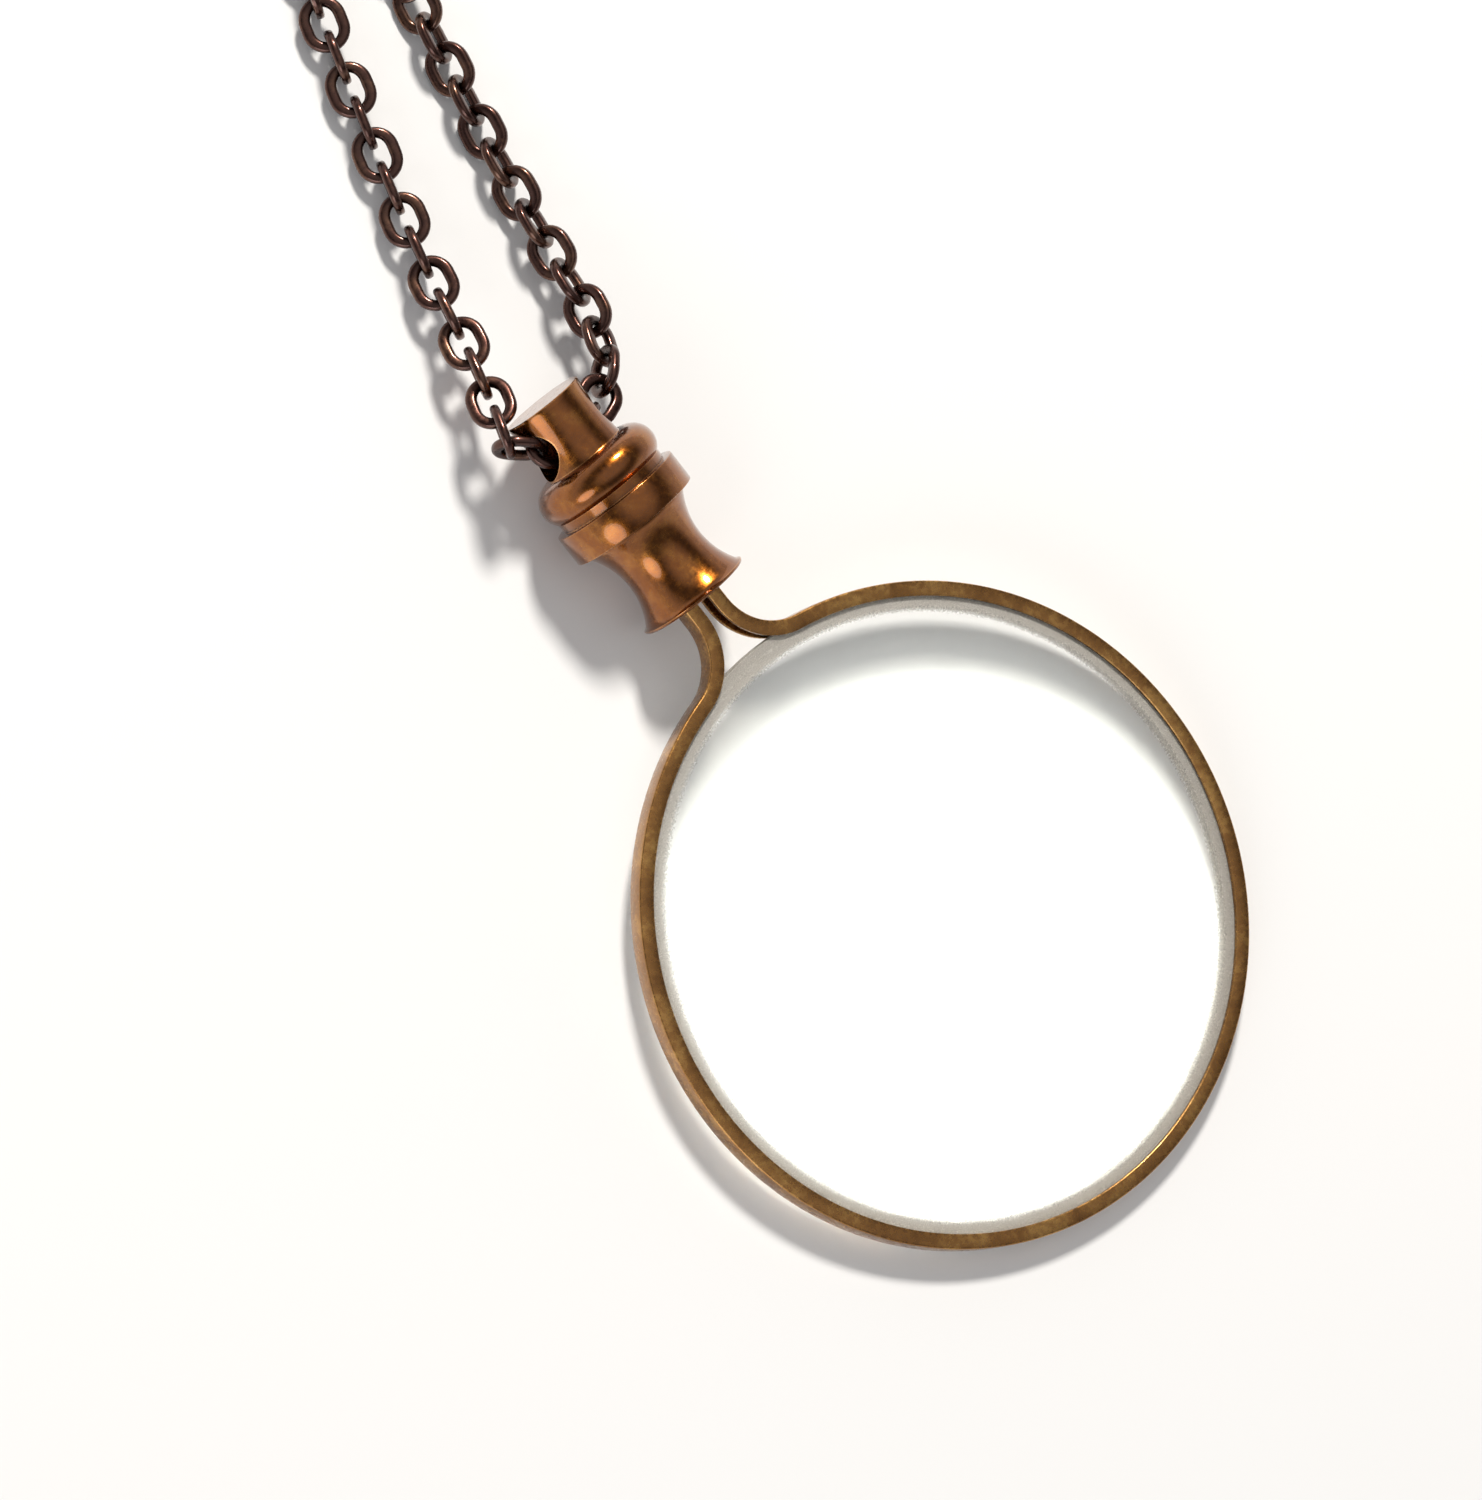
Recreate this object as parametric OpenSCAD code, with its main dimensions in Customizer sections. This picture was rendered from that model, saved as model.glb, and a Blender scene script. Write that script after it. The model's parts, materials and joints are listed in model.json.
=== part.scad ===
// Pendant hand lens: a round lens in a channel rim, a turned brass ferrule and
// finial over the rim's two legs, and a neck chain threaded through the finial.
// It lies on a flat surface: the rim's far edge and the ferrule's collar touch
// it, and the chain runs down to it and away. Millimetres, +Z up, +Y from the
// lens towards the chain.

/* [Rim] */
// Outer diameter of the rim
rim_d = 50; // [40:1:70]
// Depth of the channel, measured towards the lens
rim_depth = 1.15; // [1:0.05:2]
// Height of the channel along the optical axis
rim_h = 1.9; // [1.7:0.05:3]
// Thickness of the channel's outer web
web_t = 0.45; // [0.3:0.05:0.6]
// Thickness of each of the channel's two flanges
flange_t = 0.35; // [0.2:0.05:0.45]
// Width over the two legs
leg_span = 3.4; // [3:0.1:4]
// Radius of each bend from the ring into a leg
bend_r = 4.4; // [3:0.1:6]
// Length of each leg inside the ferrule
leg_grip = 5.4; // [3:0.1:6]

/* [Lens] */
// Thickness at the centre
lens_t = 4.3; // [3.8:0.1:4.3]
// Thickness where the curved faces meet the ground band
lens_band_t = 1.375; // [1.25:0.025:1.6]
// Thickness of the edge that sits in the channel
lens_edge_t = 1.16; // [0.9:0.02:1.2]
// Gap between the lens edge and the channel's web
lens_gap = 0.05; // [0.02:0.01:0.2]
// Width of the ground band that shows inside the rim
ground_w = 0.95; // [0.5:0.05:2]

/* [Ferrule] */
// Distance from the rim's outside to the ferrule's mouth
neck_gap = 5.3; // [5:0.1:8]
// Length from the mouth to the collar's lower edge
skirt_l = 7.2; // [6:0.1:9]
// Diameter of the mouth
mouth_d = 9; // [7.5:0.1:10]
// Smallest diameter of the skirt
waist_d = 6.6; // [6.2:0.1:7.2]
// Diameter of the collar
collar_d = 10.5; // [9.5:0.1:13]
// Height of the collar
collar_h = 2.45; // [2:0.05:4]
// Depth of the chamfer on each edge of the collar
collar_chamfer = 0.12; // [0.05:0.01:0.3]

/* [Finial] */
// Diameter of the round bead
bead_d = 10.2; // [9.4:0.1:12]
// Height of the round bead
bead_h = 3.4; // [3:0.1:4]
// Height of the narrow groove between the bead and the collar
parting_h = 0.24; // [0.1:0.02:0.4]
// Depth of the narrow groove inside the bead's widest part
parting_depth = 0.5; // [0.2:0.05:0.8]
// Diameter of the neck at its ends
neck_d = 6.5; // [5.8:0.1:7.5]
// Smallest diameter of the neck
neck_waist_d = 6.2; // [5.6:0.1:7.2]
// Length of the neck above the bead
neck_l = 5; // [4.9:0.1:8]
// Depth of the chamfer round the top face
top_chamfer = 0.15; // [0.05:0.05:0.3]
// Diameter of the hole that the chain runs through
hole_d = 4.2; // [4.2:0.1:4.4]
// Distance from the top face to the middle of the hole
hole_drop = 2.8; // [2.5:0.1:3]
// Diameter of the spigot that is soldered into the ferrule
spigot_d = 4.2; // [4.1:0.1:5]
// Length of the spigot
spigot_l = 3.6; // [2:0.1:4]

/* [Chain] */
// Outer length of a link
link_l = 4.3; // [4.1:0.1:4.5]
// Outer width of a link
link_w = 3.6; // [3.4:0.1:3.7]
// Width of the wire, seen on a link's face
wire_w = 0.8; // [0.7:0.05:0.85]
// Thickness of the flattened wire
wire_t = 0.7; // [0.6:0.05:0.8]
// Diameter of the round wire before it was flattened
wire_round_d = 0.92; // [0.85:0.01:1]
// Play of each link in the next
link_play = 0.08; // [0.04:0.01:0.2]
// Number of single links in the left strand; the right one has one less
left_count = 14; // [8:1:14]

/* [Hidden] */
$fn = 96;
eps = 0.01;

// Rim and lens
rim_r = rim_d / 2;
rim_inner_r = rim_r - rim_depth;
groove_r = rim_r - web_t;
leg_x = leg_span / 2;
bend_x = leg_x + bend_r;
bend_y = sqrt(pow(rim_r + bend_r, 2) - pow(bend_x, 2));
lens_r = groove_r - lens_gap;
lens_land_r = rim_inner_r - 0.05;
lens_clear_r = rim_inner_r - ground_w;
lens_bulge = (lens_t - lens_band_t) / 2;
lens_face_r = (pow(lens_clear_r, 2) + pow(lens_bulge, 2)) / (2 * lens_bulge);
face_centre = lens_face_r - lens_t / 2;

// Heights along the turned pieces, measured from the lens centre
mouth_y = rim_r + neck_gap;
collar_y = mouth_y + skirt_l;
collar_top_y = collar_y + collar_h;
bead_y = collar_top_y + parting_h;
neck_y = bead_y + bead_h;
top_y = neck_y + neck_l;
hole_y = top_y - hole_drop;
leg_end_y = mouth_y + leg_grip;

// How the lens lies: the rim's far edge and the collar's near edge touch the surface
rest_y = collar_y + collar_chamfer;
tilt = atan2(collar_d / 2 - rim_h / 2, rest_y + rim_r);
lift_z = rim_r * sin(tilt) + rim_h / 2 * cos(tilt);
back_y = rim_r * cos(tilt) + rim_h / 2 * sin(tilt);
front_y = top_y * cos(tilt) + (neck_d / 2 - top_chamfer) * sin(tilt);
shift_y = (back_y - front_y) / 2;
hole_at = [0, hole_y * cos(tilt) + shift_y, hole_y * sin(tilt) + lift_z];

// Chain links: azimuths turn from +Y towards +X, and each strand sinks by its
// own shares until it lies on the surface
pitch = link_l - 2 * wire_w - link_play;
left_roll = 22;
right_roll = 45;
left_lie_z = link_w / 2 * cos(left_roll) + wire_t / 2 * sin(left_roll) + 0.02;
right_lie_z = (link_w + wire_t) / 2 * sin(right_roll) + 0.02;
left_start = hole_at + [-4.67, 2.03, 1.13];
left_turns = [30, 28, 25, 22];
left_way = 19.5;
left_sinks = [0.19, 0.18, 0.165, 0.14, 0.115, 0.085, 0.06, 0.04, 0.025];
right_turns = [51, 32, 19];
right_twists = [-36, -10];
right_way = 13.5;
right_sinks = [0.21, 0.19, 0.16, 0.135, 0.11, 0.085, 0.06, 0.05];

function heading(azimuth, rise) =
    [sin(azimuth) * cos(rise), cos(azimuth) * cos(rise), sin(rise)];
function pick(list, k, rest) = k < len(list) ? list[k] : rest;
function sink_angle(sinks, k, drop) = -asin(min(0.9, pick(sinks, k, 0) * drop / pitch));
function joint_at(k, start, turns, way, sinks, drop) =
    k == 0 ? start
    : joint_at(k - 1, start, turns, way, sinks, drop)
      + pitch * heading(pick(turns, k - 1, way), sink_angle(sinks, k - 1, drop));

left_drop = left_start[2] - left_lie_z;
left_end = joint_at(left_count, left_start, left_turns, left_way, left_sinks, left_drop);

right_start = hole_at + [4.99, 0.69, -0.26];
right_drop = right_start[2] - right_lie_z;
right_count = left_count - 1;
right_end = joint_at(right_count, right_start, right_turns, right_way, right_sinks, right_drop);

// The four links that pass through the finial: middle from the hole's, heading,
// rise and roll, from the left mouth to the right one
threaded_seats = [
    [[-3.5, 1.3, -0.1], -48, 0, 98],
    [[-pitch / 2, 0.05, 0], -83, 0, 4],
    [[pitch / 2, 0, 0], 90, 0, 90],
    [[3.83, 0.24, -0.27], 74, -7, 0]
];

// Stowed chain: the two strands run on side by side and are wound together in
// one flat coil. The routes start at their own strand's end, and the coil's
// middle is measured from the left strand's end.
run_d = 3.6;
run_sides = 8;
run_z = 1.85;
left_run_route = [[0.3, 0.9], [3, 7.5], [6.2, 13.7]];
right_run_route = [[0.2, 0.9], [2.2, 8], [4.6, 15.1], [7.2, 22.2]];
coil_offset = [-5.4, 39.7];
coil_outer_r = 26.6;
coil_inner_r = 0.8;
coil_h = 3.2;

LEFT_NODES = [for (k = [1:left_count]) str("left_link_", k)];
RIGHT_NODES = [for (k = [1:right_count]) str("right_link_", k)];
THREADED_NODES = [for (k = [1:4]) str("threaded_link_", k)];

// Puts a piece, drawn about the lens centre, where it lies
module lying() {
    translate([0, shift_y, lift_z]) rotate([tilt, 0, 0]) children();
}

// Turns a profile of radius and height about the ferrule's own axis
module turned() {
    rotate([-90, 0, 0]) rotate_extrude() children();
}

// Outline of everything inside the rim's outer face, set in by a distance:
// the round of the lens, the two bends and the slot or block of the legs
module rim_outline(inset) {
    circle(rim_r - inset);
    difference() {
        polygon([
            [0, 0], [bend_x, bend_y], [leg_x - inset, bend_y], [leg_x - inset, leg_end_y],
            [inset - leg_x, leg_end_y], [inset - leg_x, bend_y], [-bend_x, bend_y]
        ]);
        for (side = [-1, 1]) translate([side * bend_x, bend_y]) circle(bend_r + inset);
    }
}

// The channel strip, bent round the lens and out into the two legs
module rim_body() {
    groove_h = rim_h - 2 * flange_t;
    difference() {
        translate([0, 0, -rim_h / 2]) linear_extrude(rim_h)
            difference() {
                rim_outline(0);
                rim_outline(rim_depth);
            }
        translate([0, 0, -groove_h / 2]) linear_extrude(groove_h) rim_outline(web_t);
    }
}

module rim() {
    color("#7a6228") lying() rim_body();
}

// Biconvex lens with a ground band and a thin land in the channel
module lens() {
    color("#dfe8e6", 0.5) lying() intersection() {
        translate([0, 0, -face_centre]) sphere(lens_face_r, $fn = 200);
        translate([0, 0, face_centre]) sphere(lens_face_r, $fn = 200);
        rotate_extrude() polygon([
            [0, -lens_t], [lens_clear_r - 2, -lens_t], [lens_clear_r, -lens_band_t / 2],
            [lens_land_r, -lens_edge_t / 2], [lens_r, -lens_edge_t / 2],
            [lens_r, lens_edge_t / 2], [lens_land_r, lens_edge_t / 2],
            [lens_clear_r, lens_band_t / 2], [lens_clear_r - 2, lens_t], [0, lens_t]
        ]);
    }
}

// Solid of revolution's half outline with a hollowed side
module waisted(end_r, waist_r, length) {
    hollow = end_r - waist_r;
    arc_r = (pow(hollow, 2) + pow(length / 2, 2)) / (2 * hollow);
    difference() {
        square([end_r, length]);
        translate([waist_r + arc_r, length / 2]) circle(arc_r, $fn = 200);
    }
}

module ferrule() {
    color("#96601e") lying() difference() {
        turned() {
            translate([0, mouth_y]) waisted(mouth_d / 2, waist_d / 2, skirt_l + eps);
            translate([0, collar_y]) polygon([
                [0, 0], [collar_d / 2 - collar_chamfer, 0], [collar_d / 2, collar_chamfer],
                [collar_d / 2, collar_h - collar_chamfer],
                [collar_d / 2 - collar_chamfer, collar_h], [0, collar_h]
            ]);
        }
        turned() translate([0, mouth_y - 1])
            square([spigot_d / 2, skirt_l + collar_h + 2]);
    }
}

// Solder that holds the two legs in the ferrule's bore
module solder_fill() {
    color("#8d8674") lying() difference() {
        turned() translate([0, mouth_y + 0.6]) square([spigot_d / 2, leg_grip - 0.6]);
        rim_body();
    }
}

module finial() {
    color("#a06822") lying() difference() {
        turned() {
            translate([0, collar_top_y - spigot_l]) square([spigot_d / 2, spigot_l + eps]);
            translate([0, collar_top_y])
                square([bead_d / 2 - parting_depth, parting_h + bead_h / 2]);
            translate([(bead_d - bead_h) / 2, bead_y + bead_h / 2]) circle(bead_h / 2);
            translate([0, bead_y]) square([(bead_d - bead_h) / 2, bead_h]);
            translate([0, neck_y - eps])
                difference() {
                    waisted(neck_d / 2, neck_waist_d / 2, neck_l + eps);
                    translate([neck_d / 2 - top_chamfer, neck_l + eps])
                        polygon([[0, 0], [1, 0], [1, -1 - top_chamfer], [top_chamfer, -top_chamfer]]);
                }
        }
        translate([-neck_d, hole_y, 0]) rotate([0, 90, 0]) cylinder(d = hole_d, h = 2 * neck_d);
    }
}

module wire_section() {
    intersection() {
        square([wire_w, wire_t], center = true);
        circle(d = wire_round_d);
    }
}

// One link, its long axis along X and its face up
module link() {
    bend = (link_w - wire_w) / 2;
    straight = link_l - link_w;
    for (side = [-1, 1]) {
        translate([side * straight / 2, 0, 0])
            rotate([0, 0, -90 * side])
                rotate_extrude(angle = 180) translate([bend, 0]) wire_section();
        translate([-straight / 2, side * bend, 0])
            rotate([90, 0, 90]) linear_extrude(straight) wire_section();
    }
}

module placed_link(at, azimuth, rise, roll) {
    translate(at) rotate([roll, -rise, 90 - azimuth]) link();
}

module strand_link(k, start, turns, way, sinks, drop, roll, twists = []) {
    azimuth = pick(turns, k, way);
    rise = sink_angle(sinks, k, drop);
    color("#4f3b30") placed_link(
        joint_at(k, start, turns, way, sinks, drop) + pitch / 2 * heading(azimuth, rise),
        azimuth, rise, roll + 90 * (k % 2) + pick(twists, k, 0));
}

module left_link(k) {
    strand_link(k - 1, left_start, left_turns, left_way, left_sinks, left_drop, 90 - left_roll);
}

module right_link(k) {
    strand_link(k - 1, right_start, right_turns, right_way, right_sinks, right_drop,
        -right_roll, right_twists);
}

module threaded_link(k) {
    seat = threaded_seats[k - 1];
    color("#5a4130") placed_link(hole_at + seat[0], seat[1], seat[2], seat[3]);
}

// A tube along a flat route, one ring of points at each route point
module run_tube(route) {
    last = len(route) - 1;
    function along(i) =
        let (step = route[min(i + 1, last)] - route[max(i - 1, 0)]) step / norm(step);
    function ring(i) = [
        for (s = [0:run_sides - 1])
            let (a = 360 * (s + 0.5) / run_sides, side = [along(i)[1], -along(i)[0]])
                [route[i][0] + run_d / 2 * cos(a) * side[0],
                 route[i][1] + run_d / 2 * cos(a) * side[1],
                 run_z + run_d / 2 * sin(a)]
    ];
    points = [for (i = [0:last]) each ring(i)];
    walls = [
        for (i = [0:last - 1], s = [0:run_sides - 1])
            let (t = (s + 1) % run_sides, a = i * run_sides, b = a + run_sides)
                [a + s, b + s, b + t, a + t]
    ];
    near_end = [for (s = [0:run_sides - 1]) s];
    far_end = [for (s = [run_sides - 1:-1:0]) last * run_sides + s];
    polyhedron(points, concat(walls, [near_end], [far_end]), convexity = 4);
}

module chain_run_left() {
    color("#4f3b30") translate([left_end[0], left_end[1], 0]) run_tube(left_run_route);
}

module chain_run_right() {
    color("#4f3b30") translate([right_end[0], right_end[1], 0]) run_tube(right_run_route);
}

module chain_coil() {
    color("#4f3b30")
        translate([left_end[0] + coil_offset[0], left_end[1] + coil_offset[1], 0])
        rotate_extrude()
            translate([coil_inner_r, 0]) square([coil_outer_r - coil_inner_r, coil_h]);
}

lens();
rim();
ferrule();
solder_fill();
finial();
for (k = [1:4])
    threaded_link(k);
for (k = [1:left_count])
    left_link(k);
for (k = [1:right_count])
    right_link(k);
chain_run_left();
chain_run_right();
chain_coil();
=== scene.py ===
# %% [markdown]
# # Pendant hand lens on a cable chain
# A round lens sits in a channel-shaped brass rim. The rim's ends bend into two
# legs that a turned ferrule holds, a turned finial tops the ferrule, and a neck
# chain runs through the finial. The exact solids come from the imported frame.
# This script gives each of them a finished mesh where its edges and section
# matter, lays the whole chain link by link, and builds the surface finishes.

# %% Load the frame
import json
import math

import bmesh
import bpy
import numpy as np
from mathutils import Matrix, Vector


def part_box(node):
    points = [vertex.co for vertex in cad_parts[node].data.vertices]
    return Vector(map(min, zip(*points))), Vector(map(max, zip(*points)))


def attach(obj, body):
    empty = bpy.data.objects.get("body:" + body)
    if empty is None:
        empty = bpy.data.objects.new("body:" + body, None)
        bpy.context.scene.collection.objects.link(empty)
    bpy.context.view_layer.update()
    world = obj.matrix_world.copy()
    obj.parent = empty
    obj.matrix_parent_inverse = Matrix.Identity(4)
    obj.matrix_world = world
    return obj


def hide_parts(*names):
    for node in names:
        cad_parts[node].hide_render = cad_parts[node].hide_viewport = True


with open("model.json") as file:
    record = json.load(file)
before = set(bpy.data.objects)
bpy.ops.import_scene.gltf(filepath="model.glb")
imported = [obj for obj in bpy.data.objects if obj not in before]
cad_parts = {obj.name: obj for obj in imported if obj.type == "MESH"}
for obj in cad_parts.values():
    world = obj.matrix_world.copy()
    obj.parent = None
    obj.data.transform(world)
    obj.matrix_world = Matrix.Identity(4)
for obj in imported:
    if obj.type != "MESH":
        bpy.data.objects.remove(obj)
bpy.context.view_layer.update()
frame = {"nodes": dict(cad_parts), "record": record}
NODES = frame["nodes"]
RECORD = frame["record"]
MM = 0.001

# %% [markdown]
# ## Driving sizes
# These are in millimetres, as a maker would list them, and the places along the
# handle are measured from the lens's middle. Each piece adds its own sizes
# where it is made.

# %% Driving sizes
RIM_R = 25.0
RIM_DEPTH = 1.15
WEB_T = 0.45
GROUND_W = 0.95
LAND_SETBACK = 0.05
EDGE_GAP = 0.05
NECK_GAP = 5.3
LEG_GRIP = 5.4

CLEAR_R = RIM_R - RIM_DEPTH - GROUND_W
LAND_R = RIM_R - RIM_DEPTH - LAND_SETBACK
LENS_R = RIM_R - WEB_T - EDGE_GAP
MOUTH_Y = RIM_R + NECK_GAP
LEG_END_Y = MOUTH_Y + LEG_GRIP
print("clear radius, mm:", round(CLEAR_R, 2), "mouth from the middle, mm:", round(MOUTH_Y, 2))

# %% [markdown]
# ## The lens's own axes
# The lens lies a few degrees off level, on its rim and on the ferrule's collar.
# The rim's edge is a mount whose axis is the optical axis and whose place is
# the lens's middle. Everything on the handle is drawn upright about that
# middle and then turned into place with one matrix.

# %% Find the lens's middle and tilt
rim_edge = next(m for m in RECORD["mounts"] if m["name"] == "rim_edge")
tilt = math.atan2(-rim_edge["axis"][1], rim_edge["axis"][2])
LYING = Matrix.Translation(rim_edge["pos_m"]) @ Matrix.Rotation(tilt, 4, "X")
print("tilt in degrees:", round(math.degrees(tilt), 2))

# %% [markdown]
# ## Camera
# The view looks down from the left of the handle, about 66 degrees above the
# surface, with a long lens, so the round rim stays nearly a plain ellipse.

# %% Set up the camera
CAMERA_AT = Vector((-238.1, 62.3, 543.1)) * MM
CAMERA_FORWARD = Vector((0.3956, -0.0927, -0.9137)).normalized()
CAMERA_UP = Vector((0.6167, 0.7641, 0.1894))


def make_camera():
    data = bpy.data.cameras.new("camera")
    data.lens = 194.5
    data.sensor_width = 36.0
    data.sensor_fit = "HORIZONTAL"
    data.clip_start = 0.01
    camera = bpy.data.objects.new("camera", data)
    bpy.context.scene.collection.objects.link(camera)
    right = CAMERA_FORWARD.cross(CAMERA_UP).normalized()
    up = right.cross(CAMERA_FORWARD)
    turn = Matrix((right, up, -CAMERA_FORWARD)).transposed()
    camera.matrix_world = Matrix.Translation(CAMERA_AT) @ turn.to_4x4()
    bpy.context.scene.camera = camera


make_camera()
print("camera height, mm:", round(CAMERA_AT.z / MM))

# %% [markdown]
# ## Mesh helpers
# Every metal piece here is a section that is turned or drawn along a path, as
# it is in a workshop. A section is a loop of edges; spinning and pushing that
# loop leaves the surface behind it.

# %% Sections, spins and pushes


def rounded(corners, steps=4):
    """Points of a closed outline whose corners (x, y, radius) are rounded."""
    points = []
    for i, (x, y, radius) in enumerate(corners):
        here = Vector((x, y))
        before = (Vector(corners[i - 1][:2]) - here).normalized()
        after = (Vector(corners[(i + 1) % len(corners)][:2]) - here).normalized()
        if radius == 0:
            points.append(here)
            continue
        half = before.angle(after) / 2
        reach = radius / math.tan(half)
        centre = here + (before + after).normalized() * (radius / math.sin(half))
        start = here + before * reach - centre
        turn = start.angle_signed(here + after * reach - centre)
        for k in range(steps + 1):
            points.append(centre + Matrix.Rotation(-turn * k / steps, 2) @ start)
    return points


def loop_of(bm, points, closed=True):
    """A string of edges through 3-D points; returns its verts and edges."""
    verts = [bm.verts.new(p) for p in points]
    pairs = list(zip(verts, verts[1:]))
    if closed:
        pairs.append((verts[-1], verts[0]))
    return verts + [bm.edges.new(pair) for pair in pairs]


def spin(bm, geom, centre, degrees, steps, axis=(0, 0, 1)):
    out = bmesh.ops.spin(
        bm, geom=geom, cent=centre, axis=axis, angle=math.radians(degrees), steps=steps
    )
    return out["geom_last"]


def push(bm, geom, offset, steps=1):
    """Draws the section along a straight line."""
    for _ in range(steps):
        edges = [g for g in geom if isinstance(g, bmesh.types.BMEdge)]
        out = bmesh.ops.extrude_edge_only(bm, edges=edges)
        geom = [g for g in out["geom"] if not isinstance(g, bmesh.types.BMFace)]
        verts = [g for g in geom if isinstance(g, bmesh.types.BMVert)]
        bmesh.ops.translate(bm, verts=verts, vec=Vector(offset) / steps)
    return geom


def cap(bm, geom):
    edges = [g for g in geom if isinstance(g, bmesh.types.BMEdge)]
    bmesh.ops.contextual_create(bm, geom=edges)


def finish_mesh(bm, name, smooth_angle=35):
    bmesh.ops.remove_doubles(bm, verts=bm.verts, dist=1e-7)
    bmesh.ops.recalc_face_normals(bm, faces=bm.faces)
    mesh = bpy.data.meshes.new(name)
    bm.to_mesh(mesh)
    bm.free()
    mesh.shade_smooth()
    mesh.set_sharp_from_angle(angle=math.radians(smooth_angle))
    return mesh


def add_piece(name, mesh, material, slot, body, *nodes):
    """Puts a finished mesh in place of CAD nodes; slot names its finish and is not used."""
    piece = bpy.data.objects.new(name, mesh)
    bpy.context.scene.collection.objects.link(piece)
    mesh.materials.clear()
    mesh.materials.append(material)
    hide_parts(*nodes)
    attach(piece, body)
    print(name, "faces:", len(mesh.polygons))
    return piece


def body_of_node(node):
    return next(b for b, names in RECORD["behaviour"]["bodies"].items() if node in names)


# %% [markdown]
# ## One chain link
# A cable chain's link is a closed oval of wire that was flattened between
# rolls. Its section is a block with rounded corners, and its sides come out a
# little wider than its ends, which the neighbours wear thin. Half a turn, a
# short straight, half a turn and a straight draw it. Then the bends' inner
# side is moved outwards towards the ends.

# %% Draw a link
LINK_L = 4.3 * MM
LINK_W = 3.6 * MM
SIDE_W = 0.9 * MM
END_W = 0.8 * MM
WIRE_T = 0.7 * MM
WIRE_CORNER = 0.28 * MM
PLAY = 0.08 * MM
PITCH = LINK_L - 2 * END_W - PLAY


def narrow_ends(bm, bend, half):
    """Thins the wire from the sides' width to the ends' width round each bend."""
    outer = bend + SIDE_W / 2
    for vert in bm.verts:
        beyond = abs(vert.co.x) - half
        if beyond <= 0:
            continue
        reach = math.hypot(beyond, vert.co.y)
        wire_w = SIDE_W - (SIDE_W - END_W) * (beyond / reach) ** 2
        new_reach = outer - (outer - reach) * wire_w / SIDE_W
        vert.co.x = math.copysign(half + beyond * new_reach / reach, vert.co.x)
        vert.co.y *= new_reach / reach


def link_bmesh(corner_steps, bend_steps, straight_steps):
    """A link about the origin, its long axis along X and its face up."""
    bm = bmesh.new()
    bend = (LINK_W - SIDE_W) / 2
    half = (LINK_L - LINK_W) / 2
    w, t = SIDE_W / 2, WIRE_T / 2
    corners = [(x, z, WIRE_CORNER) for x, z in ((-w, -t), (w, -t), (w, t), (-w, t))]
    # the section stands at the start of the right-hand bend, below its middle
    start = [Vector((half, p.x - bend, p.y)) for p in rounded(corners, corner_steps)]
    geom = loop_of(bm, start)
    geom = spin(bm, geom, (half, 0, 0), 180, bend_steps)
    geom = push(bm, geom, (-2 * half, 0, 0), straight_steps)
    geom = spin(bm, geom, (-half, 0, 0), 180, bend_steps)
    push(bm, geom, (2 * half, 0, 0), straight_steps)
    bmesh.ops.remove_doubles(bm, verts=bm.verts, dist=1e-7)
    bmesh.ops.recalc_face_normals(bm, faces=bm.faces)
    narrow_ends(bm, bend, half)
    return bm


# %% [markdown]
# ## Where each separate link lies
# A link's solid is symmetric, so the directions in which its points spread
# most and least are its long axis and its normal.

# %% Find a link's pose
SPOT = 0.05 * MM


def link_pose(node):
    """Matrix that puts a link, drawn about the origin, where the CAD link is."""
    low, high = (Vector(corner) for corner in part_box(node))
    middle = (low + high) / 2
    points = np.array([v.co for v in NODES[node].data.vertices])
    # one weight per spot, so that finely cut corners don't pull the axes round
    spots = np.unique(np.round(points / SPOT), axis=0) * SPOT
    spread = np.cov((spots - spots.mean(axis=0)).T)
    axes = np.linalg.eigh(spread)[1]
    normal = Vector(axes[:, 0]).normalized()
    long_axis = Vector(axes[:, 2]).normalized()
    if long_axis.y < 0:
        long_axis.negate()
    if normal.z < 0:
        normal.negate()
    side = normal.cross(long_axis)
    turn = Matrix((long_axis, side, normal)).transposed()
    return Matrix.Translation(middle) @ turn.to_4x4()


def links_named(start):
    """The nodes whose name begins so, in the order of their numbers."""
    names = [name for name in NODES if name.startswith(start)]
    return sorted(names, key=lambda name: int(name.rsplit("_", 1)[1]))


THREADED = links_named("threaded_link_")
LEFT = links_named("left_link_")
RIGHT = links_named("right_link_")
POSES = {name: link_pose(name) for name in THREADED + LEFT + RIGHT}
print("links:", len(POSES))

# %% [markdown]
# ## The stowed part of the chain
# The rest of the closed chain is laid out like a chain put away on a bench:
# the two strands run side by side, wind together into one flat coil and meet
# in a small bight near its middle. The route leaves each strand on a tangent
# to its own track, and loops work out the turns and the bight.

# %% Work out the stowed route
LEFT_TRACK_R = 21.4
RIGHT_TRACK_R = 24.9
TURN_STEP = 2 * (RIGHT_TRACK_R - LEFT_TRACK_R)
TURNS = 2.5
ROUTE_STEP_DEG = 5
BIGHT_STEPS = 8
coil_low, coil_high = (Vector(corner).to_2d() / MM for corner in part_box("chain_coil"))
COIL_AT = (coil_low + coil_high) / 2


def polar(radius, angle, middle=COIL_AT):
    return middle + radius * Vector((math.cos(angle), math.sin(angle)))


def tangent_angle(start, radius):
    """Where a line from start first touches a track that winds to the left."""
    gap = start - COIL_AT
    return math.atan2(gap.y, gap.x) + math.acos(radius / gap.length)


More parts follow.
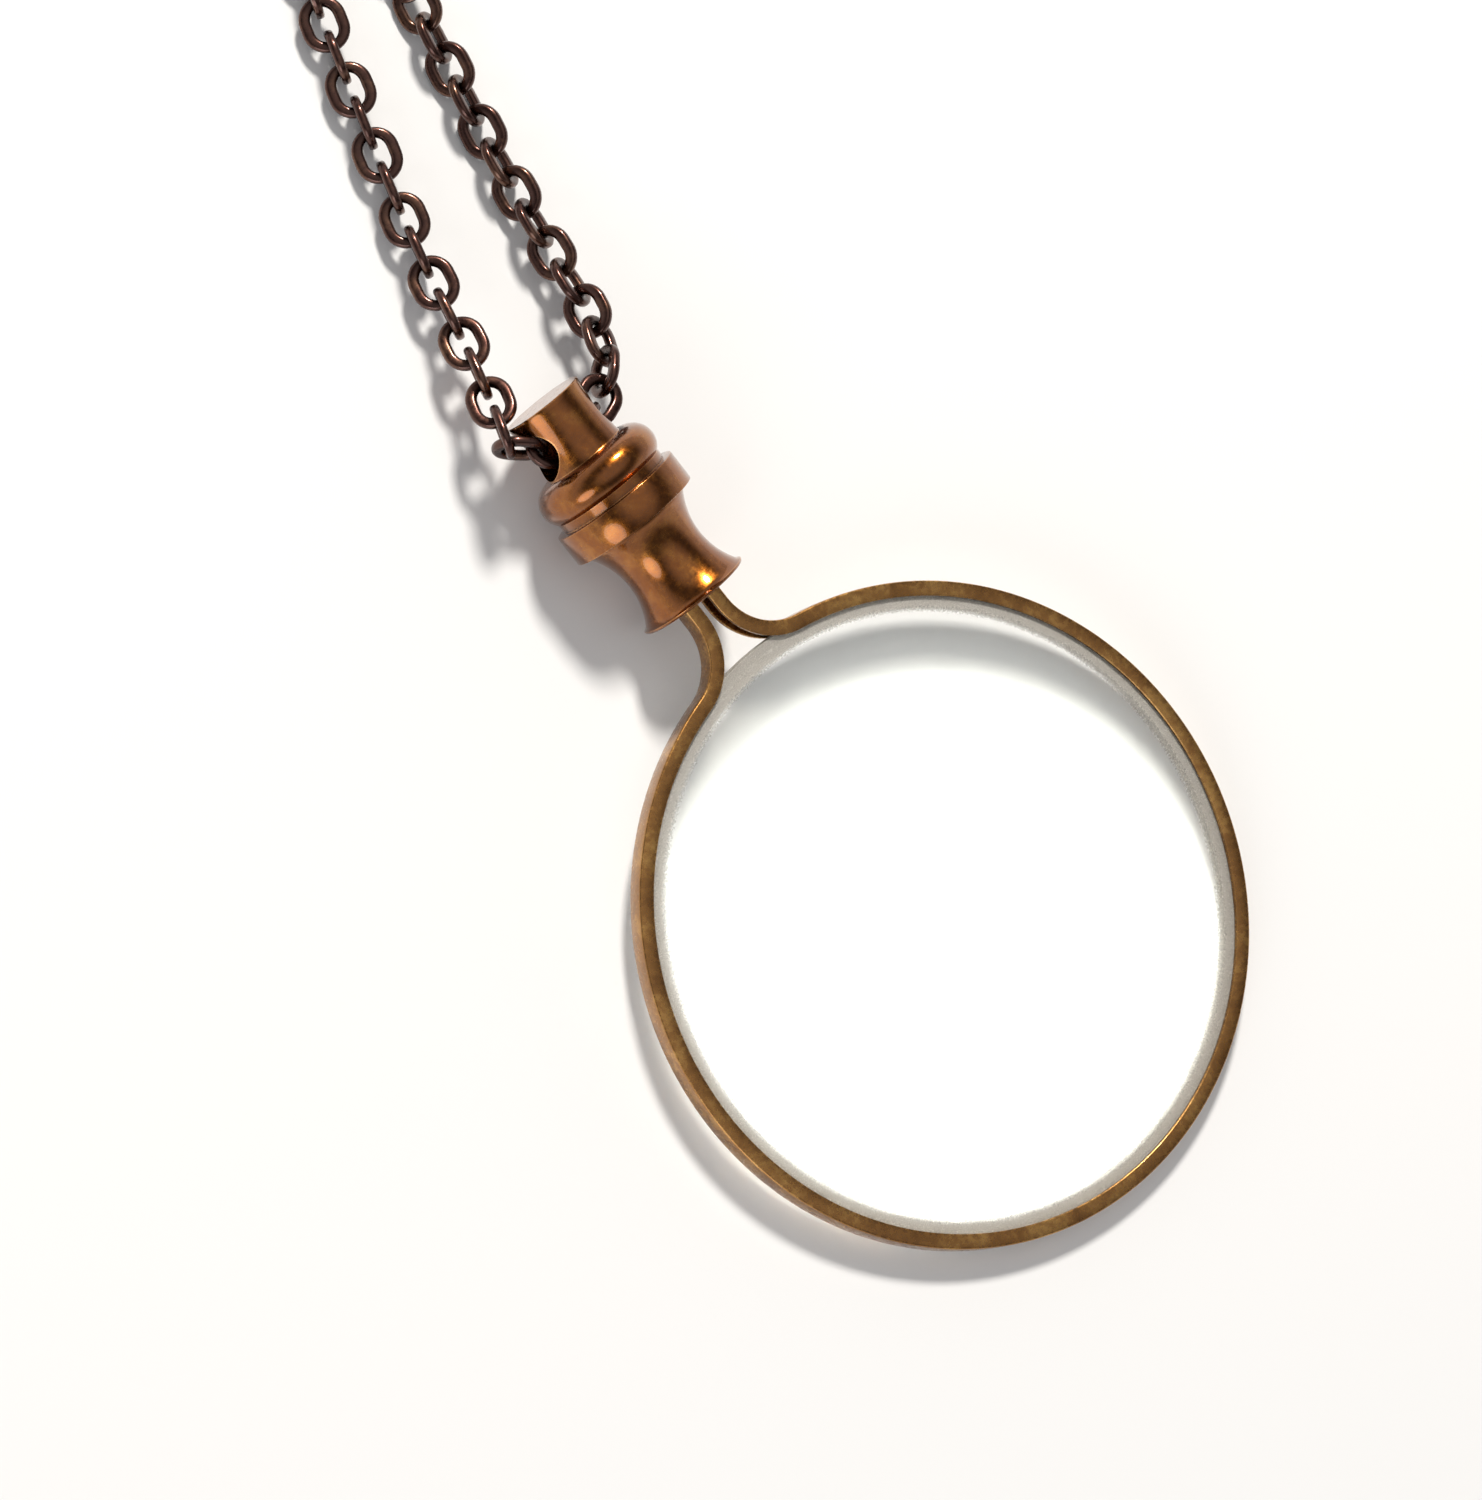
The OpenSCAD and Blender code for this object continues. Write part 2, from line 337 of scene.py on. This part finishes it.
def strand_route(start, track_r, end_angle):
    """From a strand's last link along its track to the bight, winding inwards."""
    first = tangent_angle(start, track_r)
    count = round(math.degrees(end_angle - first) / ROUTE_STEP_DEG)
    step = (end_angle - first) / count
    shrink = TURN_STEP * step / (2 * math.pi)
    return [start] + [polar(track_r - shrink * k, first + step * k) for k in range(count + 1)]


def bight(outer_end, inner_end):
    """Half circle from one strand's end to the other's."""
    middle = (outer_end + inner_end) / 2
    reach = outer_end - middle
    first = math.atan2(reach.y, reach.x)
    angles = [first + math.pi * k / BIGHT_STEPS for k in range(1, BIGHT_STEPS)]
    return [polar(reach.length, angle, middle) for angle in angles]


# %% [markdown]
# Links are strung along the route at an even pitch. Each link's two ends lie
# on the line, and neighbours stand a quarter turn apart, leaning 45 degrees to
# the surface, which is how a cable chain settles when it is laid down.

# %% String the stowed links
LINK_LIE_Z = 1.56
SETTLE_LINKS = 6
FIRST_ROLL = 68
SETTLED_ROLL = 45
ROLL_LINKS = 8
FINE_LINKS = 3


def points_at_pitch(line, count):
    """count + 1 points at equal distances along a line."""
    lengths = [0.0]
    for a, b in zip(line, line[1:]):
        lengths.append(lengths[-1] + (b - a).length)
    out, i = [], 0
    for k in range(count + 1):
        want = lengths[-1] * k / count
        while i < len(line) - 2 and lengths[i + 1] < want:
            i += 1
        share = (want - lengths[i]) / (lengths[i + 1] - lengths[i])
        out.append(line[i].lerp(line[i + 1], share))
    return out


def chain_joint(node, forwards):
    """The end of a link's opening that the next link bears on, in mm."""
    pose = POSES[node]
    along = pose.to_3x3() @ Vector((PITCH / 2, 0, 0))
    return (pose.translation + (along if forwards else -along)) / MM


left_end = chain_joint(LEFT[-1], True)
right_end = chain_joint(RIGHT[-1], True)
end_angle = tangent_angle(right_end.to_2d(), RIGHT_TRACK_R) + 2 * math.pi * TURNS
left_route = strand_route(left_end.to_2d(), LEFT_TRACK_R, end_angle)
right_route = strand_route(right_end.to_2d(), RIGHT_TRACK_R, end_angle)
flat_route = left_route + bight(right_route[-1], left_route[-1])[::-1] + right_route[::-1]
route_length = sum((b - a).length for a, b in zip(flat_route, flat_route[1:]))
stowed_count = round(route_length / (PITCH / MM))
joints = points_at_pitch(flat_route, stowed_count)
print("stowed route, mm:", round(route_length), "links:", stowed_count)


def stowed_height(k):
    """The strands come down from the height of the last separate links."""
    ease_in = max(0.0, 1 - k / SETTLE_LINKS)
    ease_out = max(0.0, 1 - (stowed_count - k) / SETTLE_LINKS)
    return LINK_LIE_Z + (left_end.z - LINK_LIE_Z) * ease_in + (right_end.z - LINK_LIE_Z) * ease_out


def stowed_roll(k):
    """A link's lean, eased from that of the left strand's last separate link."""
    even_roll = FIRST_ROLL - (FIRST_ROLL - SETTLED_ROLL) * min(1.0, k / ROLL_LINKS)
    return math.radians(even_roll if k % 2 == 0 else even_roll - 90)


def string_links():
    """One mesh of all the stowed links, finely drawn only beside the separate ones."""
    whole = bmesh.new()
    for k in range(stowed_count):
        a = Vector((*joints[k], stowed_height(k))) * MM
        b = Vector((*joints[k + 1], stowed_height(k + 1))) * MM
        along = (b - a).normalized()
        side = along.cross(Vector((0, 0, 1))).normalized()
        turn = Matrix((along, -side, side.cross(along))).transposed()
        roll = Matrix.Rotation(stowed_roll(k), 3, "X")
        fine = k < FINE_LINKS or k >= stowed_count - FINE_LINKS
        link = link_bmesh(2, 12, 1) if fine else link_bmesh(1, 4, 1)
        pose = Matrix.Translation((a + b) / 2) @ (turn @ roll).to_4x4()
        bmesh.ops.transform(link, matrix=pose, verts=link.verts)
        part = bpy.data.meshes.new("part")
        link.to_mesh(part)
        link.free()
        whole.from_mesh(part)
        bpy.data.meshes.remove(part)
    return finish_mesh(whole, "stowed_chain", 40)


stowed_mesh = string_links()
print("stowed chain faces:", len(stowed_mesh.polygons))

# %% [markdown]
# ## Materials
# Each finish is a small node graph on the object's own coordinates, in
# millimetres of the lens's own axes, so turning marks run round the handle and
# the wear and painted highlights sit on edges.

# %% Node helpers


class Graph:
    """A material's nodes, made by short calls."""

    def __init__(self, name):
        self.material = bpy.data.materials.new(name)
        self.material.use_nodes = True
        self.tree = self.material.node_tree
        self.tree.nodes.clear()
        self.out = self.node("ShaderNodeOutputMaterial")

    def node(self, kind, inputs=None, **settings):
        made = self.tree.nodes.new(kind)
        for key, value in settings.items():
            setattr(made, key, value)
        for key, value in (inputs or {}).items():
            self.feed(made, key, value)
        return made

    def feed(self, node, key, value):
        if isinstance(value, bpy.types.NodeSocket):
            self.tree.links.new(value, node.inputs[key])
        else:
            node.inputs[key].default_value = value

    def position(self):
        """Position in the lens's own axes, in millimetres."""
        coords = self.node("ShaderNodeTexCoord")
        shifted = self.node(
            "ShaderNodeVectorMath", {0: coords.outputs["Object"], 1: LYING.translation},
            operation="SUBTRACT",
        )
        turned = self.node(
            "ShaderNodeMapping", {"Vector": shifted.outputs[0], "Rotation": (-tilt, 0, 0)}
        )
        scaled = self.node("ShaderNodeVectorMath", {0: turned.outputs[0]}, operation="SCALE")
        scaled.inputs["Scale"].default_value = 1 / MM
        return scaled.outputs[0]

    def noise(self, vector, scale, detail=4.0, roughness=0.55, distortion=0.0):
        made = self.node("ShaderNodeTexNoise", {
            "Vector": vector, "Scale": scale, "Detail": detail,
            "Roughness": roughness, "Distortion": distortion,
        })
        return made.outputs["Fac"]

    def ramp(self, value, stops):
        made = self.node("ShaderNodeValToRGB", {"Fac": value})
        elements = made.color_ramp.elements
        while len(elements) < len(stops):
            elements.new(0.5)
        for element, (at, colour) in zip(elements, stops):
            element.position = at
            element.color = (*colour, 1.0)
        return made.outputs["Color"]

    def span(self, value, low, high, to_low=0.0, to_high=1.0):
        made = self.node("ShaderNodeMapRange", {
            "Value": value, "From Min": low, "From Max": high,
            "To Min": to_low, "To Max": to_high,
        })
        return made.outputs["Result"]

    def maths(self, operation, a, b=0.0):
        made = self.node("ShaderNodeMath", {0: a, 1: b}, operation=operation)
        return made.outputs[0]

    def mix(self, share, tint, colour):
        """Between a worked-out tint and a plain colour."""
        made = self.node("ShaderNodeMix", data_type="RGBA", blend_type="MIX")
        self.feed(made, 0, share)
        self.feed(made, 6, tint)
        self.feed(made, 7, (*colour, 1.0))
        return made.outputs[2]

    def edge_wear_and_highlight(self, radius):
        """1 on sharp outer edges and hollows' lips, 0 on open faces; it places rubbed wear and
        painted highlights.
        """
        bevel = self.node("ShaderNodeBevel", {"Radius": radius}, samples=6)
        plain = self.node("ShaderNodeNewGeometry")
        dot = self.node(
            "ShaderNodeVectorMath",
            {0: bevel.outputs[0], 1: plain.outputs["Normal"]}, operation="DOT_PRODUCT",
        )
        away = self.maths("SUBTRACT", 1.0, dot.outputs["Value"])
        return self.span(away, 0.003, 0.12)

    def hollow(self, distance):
        """Ambient occlusion: 1 in the open, towards 0 in corners."""
        made = self.node("ShaderNodeAmbientOcclusion", {"Distance": distance}, samples=8)
        return made.outputs["AO"]

    def bump(self, height, strength, distance):
        made = self.node("ShaderNodeBump", {
            "Height": height, "Strength": strength, "Distance": distance,
        })
        return made.outputs["Normal"]

    def surface(self, shader):
        self.tree.links.new(shader, self.out.inputs["Surface"])
        return self.material


# %% [markdown]
# ### Antiqued brass
# Brass is darkened in a bath and then rubbed back. What stays is a warm metal
# with cloudy patches and small dark specks, under a thin lacquer. Corners are
# painted near black as shade, and edges are painted bright, partly as rubbed
# bare metal and partly as painted highlight. Turned pieces also carry very fine
# rings round their axis.

# %% Antiqued brass


def antique_brass(name, dark, middle, bright, roughness, turned, mottle, coat):
    """Three tints from dark to bright; mottle is how strongly they vary."""
    g = Graph(name)
    place = g.position()
    cloud = g.noise(place, 0.35, 5.0, 0.62, 0.4)
    fine = g.noise(place, 2.1, 3.0, 0.6)
    mottled = g.maths("ADD", g.maths("MULTIPLY", cloud, 0.75), g.maths("MULTIPLY", fine, 0.25))
    spread = 0.19 / mottle
    tint = g.ramp(mottled, [(0.5 - spread, dark), (0.5, middle), (0.5 + spread, bright)])
    specks = g.span(g.noise(place, 7.0, 2.0, 0.5), 0.64, 0.72)
    tint = g.mix(g.maths("MULTIPLY", specks, 0.6 * mottle), tint, dark)
    # painted shade: ambient occlusion darkens corners and hollows towards near black
    corners = g.span(g.hollow(0.0008), 0.3, 0.9, 1.0, 0.0)
    tint = g.mix(g.maths("MULTIPLY", corners, 0.85), tint, tuple(v * 0.2 for v in dark))
    # edges lightened partly as rubbed bare metal and partly as a painted highlight
    worn_and_highlit = g.maths("MULTIPLY", g.edge_wear_and_highlight(0.00014), g.span(cloud, 0.3, 0.6, 0.6, 1.0))
    bare_and_highlight_tint = tuple(min(1.0, v * 1.3 + 0.08) for v in bright)
    tint = g.mix(worn_and_highlit, tint, bare_and_highlight_tint)
    rough = g.span(fine, 0.25, 0.75, roughness - 0.06, roughness + 0.12)
    height = g.maths("MULTIPLY", fine, 0.6)
    if turned:
        split = g.node("ShaderNodeSeparateXYZ", {0: place})
        rings = g.node("ShaderNodeCombineXYZ", {0: split.outputs["Y"]})
        height = g.maths("ADD", height, g.noise(rings.outputs[0], 9.0, 6.0, 0.75))
    normal = g.bump(height, 0.2, 0.00003)
    shader = g.node("ShaderNodeBsdfPrincipled", {
        "Base Color": tint, "Metallic": 1.0, "Roughness": rough, "Normal": normal,
        "Coat Weight": coat, "Coat Roughness": 0.07,
    })
    return g.surface(shader.outputs[0])


TURNED_BRASS = antique_brass(
    "turned_brass", dark=(0.12, 0.033, 0.004), middle=(0.26, 0.08, 0.01),
    bright=(0.5, 0.21, 0.038), roughness=0.2, turned=True, mottle=0.6, coat=0.7,
)
RIM_BRASS = antique_brass(
    "rim_brass", dark=(0.17, 0.07, 0.018), middle=(0.35, 0.165, 0.045),
    bright=(0.72, 0.42, 0.13), roughness=0.24, turned=False, mottle=0.7, coat=0.4,
)
CHAIN_BRONZE = antique_brass(
    "chain_bronze", dark=(0.04, 0.015, 0.011), middle=(0.088, 0.041, 0.032),
    bright=(0.27, 0.145, 0.08), roughness=0.26, turned=False, mottle=0.45, coat=0.35,
)
print("metals:", TURNED_BRASS.name, RIM_BRASS.name, CHAIN_BRONZE.name)

# %% [markdown]
# ### Solder
# Soft solder is dull and slightly lumpy.

# %% Solder


def solder():
    g = Graph("solder")
    place = g.position()
    lumps = g.noise(place, 1.6, 4.0)
    tint = g.ramp(lumps, [(0.3, (0.16, 0.15, 0.14)), (0.7, (0.36, 0.35, 0.33))])
    shader = g.node("ShaderNodeBsdfPrincipled", {
        "Base Color": tint, "Metallic": 0.9, "Roughness": 0.5,
        "Normal": g.bump(lumps, 0.5, 0.0001),
    })
    return g.surface(shader.outputs[0])


SOLDER = solder()
print("solder:", SOLDER.name)

# %% [markdown]
# ### Lens glass
# The faces are polished. Outside the clear aperture the edge is ground: a pale
# grey band that scatters light, with a grainy border where the grinding wheel
# left chips, so the band's inner edge is broken up by noise.

# %% Lens glass
GLASS_IOR = 1.52


def lens_glass():
    g = Graph("lens_glass")
    place = g.position()
    flat = g.node("ShaderNodeVectorMath", {0: place, 1: (1, 1, 0)}, operation="MULTIPLY")
    radius = g.node("ShaderNodeVectorMath", {0: flat.outputs[0]}, operation="LENGTH")
    grain = g.noise(place, 7.0, 3.0, 0.7)
    edge = g.maths("ADD", radius.outputs["Value"], g.maths("MULTIPLY", grain, 1.1))
    ground = g.span(edge, CLEAR_R + 0.4, CLEAR_R + 0.75)
    clear = g.node("ShaderNodeBsdfPrincipled", {
        "Base Color": (0.97, 0.985, 0.98, 1), "Roughness": 0.0, "IOR": GLASS_IOR,
        "Transmission Weight": 1.0,
    })
    speckle = g.noise(place, 14.0, 2.0, 0.6)
    grey = g.ramp(speckle, [
        (0.3, (0.3, 0.28, 0.25)), (0.55, (0.5, 0.47, 0.42)), (0.75, (0.9, 0.88, 0.82)),
    ])
    frosted = g.node("ShaderNodeBsdfPrincipled", {
        "Base Color": grey, "Roughness": 0.5, "IOR": GLASS_IOR, "Transmission Weight": 0.35,
        "Normal": g.bump(speckle, 0.6, 0.0001),
    })
    both = g.node("ShaderNodeMixShader", {
        0: ground, 1: clear.outputs[0], 2: frosted.outputs[0],
    })
    # lamps shine through the clear part, and the ground band dims them
    passed = g.ramp(ground, [(0.0, (0.92, 0.94, 0.93)), (1.0, (0.45, 0.44, 0.42))])
    lit = g.node("ShaderNodeBsdfTransparent", {"Color": passed})
    path = g.node("ShaderNodeLightPath")
    whole = g.node("ShaderNodeMixShader", {
        0: path.outputs["Is Shadow Ray"], 1: both.outputs[0], 2: lit.outputs[0],
    })
    return g.surface(whole.outputs[0])


LENS_GLASS = lens_glass()
print("glass:", LENS_GLASS.name)

# %% [markdown]
# ## Lens
# The half section is turned once round the optical axis: two shallow arcs, a
# ground bevel outside the clear aperture, and a narrow land that sits in the
# rim's groove. The bevel's corners are slightly broken so that they catch light.

# %% Turn the lens
FACE_R = 180.0
LENS_T = 4.3
LAND_T = 1.16
FACE_STEPS = 24


def lens_mesh():
    centre_z = FACE_R - LENS_T / 2
    upper = []
    for k in range(FACE_STEPS + 1):
        r = CLEAR_R * k / FACE_STEPS
        upper.append((r, math.sqrt(FACE_R ** 2 - r ** 2) - centre_z))
    upper += [(LAND_R - 0.05, LAND_T / 2 + 0.02), (LAND_R, LAND_T / 2)]
    upper += [(LENS_R - 0.06, LAND_T / 2), (LENS_R, LAND_T / 2 - 0.06)]
    outline = upper + [(r, -z) for r, z in reversed(upper)]
    bm = bmesh.new()
    geom = loop_of(bm, [(r * MM, 0, z * MM) for r, z in outline], closed=False)
    spin(bm, geom, (0, 0, 0), 360, 144)
    bmesh.ops.transform(bm, matrix=LYING, verts=bm.verts)
    return finish_mesh(bm, "lens_glass_piece", 12)


add_piece("lens_piece", lens_mesh(), LENS_GLASS, "lens_glass", "pendant", "lens")

# %% [markdown]
# ## Rim
# The rim is one strip with a channel section. The section starts at the end of
# one leg and is drawn down the leg, round the bend, round the lens, round the
# second bend and up the other leg. Its outer corners are rounded and its
# flanges end in soft lips.

# %% Draw the rim
RIM_H = 1.9
FLANGE_T = 0.35
LEG_X = 1.7
BEND_R = 4.4


def channel_outline():
    """(outwards, height) points: the web's outside at 0, the flanges inwards."""
    top = RIM_H / 2
    inner = top - FLANGE_T
    return rounded([
        (0, -top, 0.16), (0, top, 0.16), (-RIM_DEPTH, top, 0.1), (-RIM_DEPTH, inner, 0.06),
        (-WEB_T, inner, 0.05), (-WEB_T, -inner, 0.05), (-RIM_DEPTH, -inner, 0.06),
        (-RIM_DEPTH, -top, 0.1),
    ])


def rim_mesh():
    bend_x = LEG_X + BEND_R
    bend_y = math.sqrt((RIM_R + BEND_R) ** 2 - bend_x ** 2)
    bend_turn = math.degrees(math.acos(bend_x / (RIM_R + BEND_R)))
    straight = LEG_END_Y - bend_y
    bm = bmesh.new()
    start = [((LEG_X + out) * MM, LEG_END_Y * MM, z * MM) for out, z in channel_outline()]
    geom = loop_of(bm, start)
    cap(bm, geom)
    geom = push(bm, geom, (0, -straight * MM, 0), 3)
    geom = spin(bm, geom, (bend_x * MM, bend_y * MM, 0), bend_turn, 16)
    geom = spin(bm, geom, (0, 0, 0), -180 - 2 * bend_turn, 168)
    geom = spin(bm, geom, (-bend_x * MM, bend_y * MM, 0), bend_turn, 16)
    geom = push(bm, geom, (0, straight * MM, 0), 3)
    cap(bm, geom)
    bmesh.ops.transform(bm, matrix=LYING, verts=bm.verts)
    return finish_mesh(bm, "rim_strip", 50)


add_piece("rim_piece", rim_mesh(), RIM_BRASS, "rim_brass", "pendant", "rim")

# %% [markdown]
# ## Ferrule
# A bell-mouthed sleeve with a square-edged collar, bored through. The skirt is
# a hollow arc, the lip at the mouth is thin and rounded, and the collar's two
# edges are only just broken, so they show as crisp lines.

# %% Turn the ferrule
SKIRT_L = 7.2
MOUTH_R = 4.5
WAIST_R = 3.3
COLLAR_R = 5.25
COLLAR_H = 2.45
BORE_R = 2.1
LIP_R = 0.24
LIP_STEPS = 5
TURNED_SMOOTH = 30

COLLAR_Y = MOUTH_Y + SKIRT_L
COLLAR_TOP_Y = COLLAR_Y + COLLAR_H


def turned_mesh(name, outline, closed):
    """Spins (radius, height) points, in mm, round the handle's axis."""
    bm = bmesh.new()
    geom = loop_of(bm, [(r * MM, y * MM, 0) for r, y in outline], closed=closed)
    spin(bm, geom, (0, 0, 0), 360, 128, axis=(0, 1, 0))
    bmesh.ops.transform(bm, matrix=LYING, verts=bm.verts)
    return finish_mesh(bm, name, TURNED_SMOOTH)


def hollow_side(end_r, waist_r, low_y, length, first, last, count):
    """Points of a hollowed side between two heights above its foot."""
    hollow = end_r - waist_r
    arc_r = (hollow ** 2 + (length / 2) ** 2) / (2 * hollow)
    points = []
    for k in range(count + 1):
        up = first + (last - first) * k / count
        out = waist_r + arc_r - math.sqrt(arc_r ** 2 - (up - length / 2) ** 2)
        points.append((out, low_y + up))
    return points


def ferrule_mesh():
    top = COLLAR_TOP_Y
    outline = [(BORE_R, MOUTH_Y + 0.12), (BORE_R + 0.12, MOUTH_Y), (MOUTH_R - 0.32, MOUTH_Y)]
    for k in range(1, LIP_STEPS + 1):
        a = math.radians(-90 + 90 * k / LIP_STEPS)
        lip = polar(LIP_R, a, Vector((MOUTH_R - LIP_R, MOUTH_Y + LIP_R)))
        outline.append(tuple(lip))
    outline += hollow_side(MOUTH_R, WAIST_R, MOUTH_Y, SKIRT_L, 0.42, SKIRT_L - 0.12, 28)
    outline += [(MOUTH_R - 0.07, COLLAR_Y - 0.02), (COLLAR_R - 0.1, COLLAR_Y)]
    outline += [(COLLAR_R - 0.03, COLLAR_Y + 0.03), (COLLAR_R, COLLAR_Y + 0.1)]
    outline += [(COLLAR_R, top - 0.1), (COLLAR_R - 0.03, top - 0.03), (COLLAR_R - 0.1, top)]
    outline += [(BORE_R, top)]
    return turned_mesh("ferrule_turned", outline, closed=True)


add_piece("ferrule_piece", ferrule_mesh(), TURNED_BRASS, "turned_brass", "pendant", "ferrule")

# %% [markdown]
# ## Finial
# A neck above a round bead, with a narrow parting groove below it and a spigot
# that goes into the ferrule. The chain's hole is drilled across the neck after
# turning, so it is cut here with a boolean and its mouths are left sharp.

# %% Turn and drill the finial
PARTING_H = 0.24
PARTING_DEPTH = 0.5
BEAD_R = 5.1
BEAD_H = 3.4
NECK_R = 3.25
NECK_WAIST_R = 3.1
NECK_L = 5.0
HOLE_R = 2.1
HOLE_DROP = 2.8
SPIGOT_L = 3.6
BEAD_STEPS = 24

BEAD_Y = COLLAR_TOP_Y + PARTING_H
NECK_Y = BEAD_Y + BEAD_H
TOP_Y = NECK_Y + NECK_L
HOLE_Y = TOP_Y - HOLE_DROP


def finial_mesh():
    spigot_y = COLLAR_TOP_Y - SPIGOT_L
    outline = [(0, spigot_y), (BORE_R - 0.2, spigot_y)]
    outline += [(BORE_R, spigot_y + 0.2), (BORE_R, COLLAR_TOP_Y)]
    groove_r = BEAD_R - PARTING_DEPTH
    outline.append((groove_r, COLLAR_TOP_Y))
    round_r = BEAD_H / 2
    round_at = Vector((BEAD_R - round_r, BEAD_Y + round_r))
    low = -math.acos((groove_r - round_at.x) / round_r)
    for k in range(BEAD_STEPS + 1):
        angle = low + (math.pi / 2 - low) * k / BEAD_STEPS
        outline.append(tuple(polar(round_r, angle, round_at)))
    outline.append((NECK_R + 0.04, NECK_Y))
    outline += hollow_side(NECK_R, NECK_WAIST_R, NECK_Y, NECK_L, 0.12, NECK_L - 0.14, 16)
    outline += [(NECK_R - 0.03, TOP_Y - 0.06), (NECK_R - 0.1, TOP_Y), (0, TOP_Y)]
    return turned_mesh("finial_turned", outline, closed=False)


def chain_drill():
    """A rod as wide as the chain's hole, standing across the neck."""
    bm = bmesh.new()
    bmesh.ops.create_cone(
        bm, cap_ends=True, segments=64, radius1=HOLE_R * MM, radius2=HOLE_R * MM, depth=12 * MM
    )
    across = Matrix.Translation((0, HOLE_Y * MM, 0)) @ Matrix.Rotation(math.pi / 2, 4, "Y")
    bmesh.ops.transform(bm, matrix=LYING @ across, verts=bm.verts)
    return finish_mesh(bm, "drill")


def cut_away(mesh, cutter_mesh):
    """The mesh less the cutter's volume."""
    blank = bpy.data.objects.new("blank", mesh)
    cutter = bpy.data.objects.new("cutter", cutter_mesh)
    for temporary in (blank, cutter):
        bpy.context.scene.collection.objects.link(temporary)
    cut = blank.modifiers.new("cut", "BOOLEAN")
    cut.operation = "DIFFERENCE"
    cut.solver = "EXACT"
    cut.object = cutter
    bpy.context.view_layer.update()
    evaluated = blank.evaluated_get(bpy.context.evaluated_depsgraph_get())
    left = bpy.data.meshes.new_from_object(evaluated)
    for temporary in (blank, cutter):
        bpy.data.objects.remove(temporary)
    left.shade_smooth()
    left.set_sharp_from_angle(angle=math.radians(TURNED_SMOOTH))
    return left


drilled_finial = cut_away(finial_mesh(), chain_drill())
add_piece("finial_piece", drilled_finial, TURNED_BRASS, "turned_brass", "pendant", "finial")

# %% [markdown]
# ## Solder in the ferrule
# It is hidden but for a glimpse at the mouth, so the frame's own solid stays.

# %% Solder node
fill = NODES["solder_fill"].data
fill.materials.clear()
fill.materials.append(SOLDER)
print("solder faces:", len(fill.polygons))

# %% [markdown]
# ## The chain
# The separate links each ride on the body of their own CAD link. The stowed
# links are one piece on the chain's body.

# %% Place the links


def place_link(node):
    bm = link_bmesh(3, 20, 2)
    bmesh.ops.transform(bm, matrix=POSES[node], verts=bm.verts)
    wire = finish_mesh(bm, f"{node}_wire", 40)
    add_piece(f"{node}_wire", wire, CHAIN_BRONZE, "chain_bronze", body_of_node(node), node)


for link_node in THREADED + LEFT + RIGHT:
    place_link(link_node)

stowed = add_piece(
    "stowed_chain", stowed_mesh, CHAIN_BRONZE, "chain_bronze", "chain",
    "chain_run_left", "chain_run_right", "chain_coil",
)

# %% [markdown]
# ## Floor and light
# A pale matt floor, a key light from behind on the right and a soft fill from
# the left. The sky is bright low down and overhead, and dark between, so that
# polished metal shows light and dark bands that follow its shape.

# %% Floor


def floor_material():
    g = Graph("floor")
    shader = g.node("ShaderNodeBsdfPrincipled", {
        "Base Color": (0.86, 0.86, 0.86, 1), "Roughness": 0.75,
    })
    return g.surface(shader.outputs[0])


def make_floor():
    bm = bmesh.new()
    bmesh.ops.create_grid(bm, x_segments=1, y_segments=1, size=1.5)
    mesh = finish_mesh(bm, "floor")
    mesh.materials.append(floor_material())
    floor = bpy.data.objects.new("floor", mesh)
    bpy.context.scene.collection.objects.link(floor)


make_floor()
print("floor laid")

# %% Lights


def area_light(name, direction, size, watts, colour):
    """A round lamp one metre away in a direction, facing the object."""
    data = bpy.data.lights.new(name, "AREA")
    data.shape = "DISK"
    data.size = size
    data.energy = watts
    data.color = colour
    lamp = bpy.data.objects.new(name, data)
    bpy.context.scene.collection.objects.link(lamp)
    toward = Vector(direction).normalized()
    facing = toward.to_track_quat("Z", "Y").to_matrix().to_4x4()
    lamp.matrix_world = Matrix.Translation(toward) @ facing


area_light("key", (0.4, 0.64, 0.78), size=0.16, watts=10.5, colour=(1.0, 0.96, 0.9))
area_light("fill", (-0.9, -0.3, 0.45), size=0.6, watts=2.5, colour=(0.95, 0.97, 1.0))


def make_sky():
    """Grey levels by height: bright walls, a dark band and a bright ceiling."""
    world = bpy.data.worlds.new("sky")
    world.use_nodes = True
    tree = world.node_tree
    background = tree.nodes["Background"]
    coords = tree.nodes.new("ShaderNodeTexCoord")
    split = tree.nodes.new("ShaderNodeSeparateXYZ")
    ramp = tree.nodes.new("ShaderNodeValToRGB")
    stops = ramp.color_ramp.elements
    for height in (0.55, 0.75):
        stops.new(height).color = (0.13, 0.13, 0.143, 1.0)
    walls = stops[0]
    walls.position = 0.25
    walls.color = (0.85, 0.85, 0.85, 1.0)
    ceiling = stops[-1]
    ceiling.position = 0.95
    ceiling.color = (0.75, 0.74, 0.72, 1.0)
    tree.links.new(coords.outputs["Generated"], split.inputs[0])
    tree.links.new(split.outputs["Z"], ramp.inputs["Fac"])
    tree.links.new(ramp.outputs["Color"], background.inputs["Color"])
    background.inputs["Strength"].default_value = 0.85
    bpy.context.scene.world = world


make_sky()
bpy.context.scene.view_settings.view_transform = "Standard"

# %% [markdown]
# ## Finish

# %% Finish
print("finished")
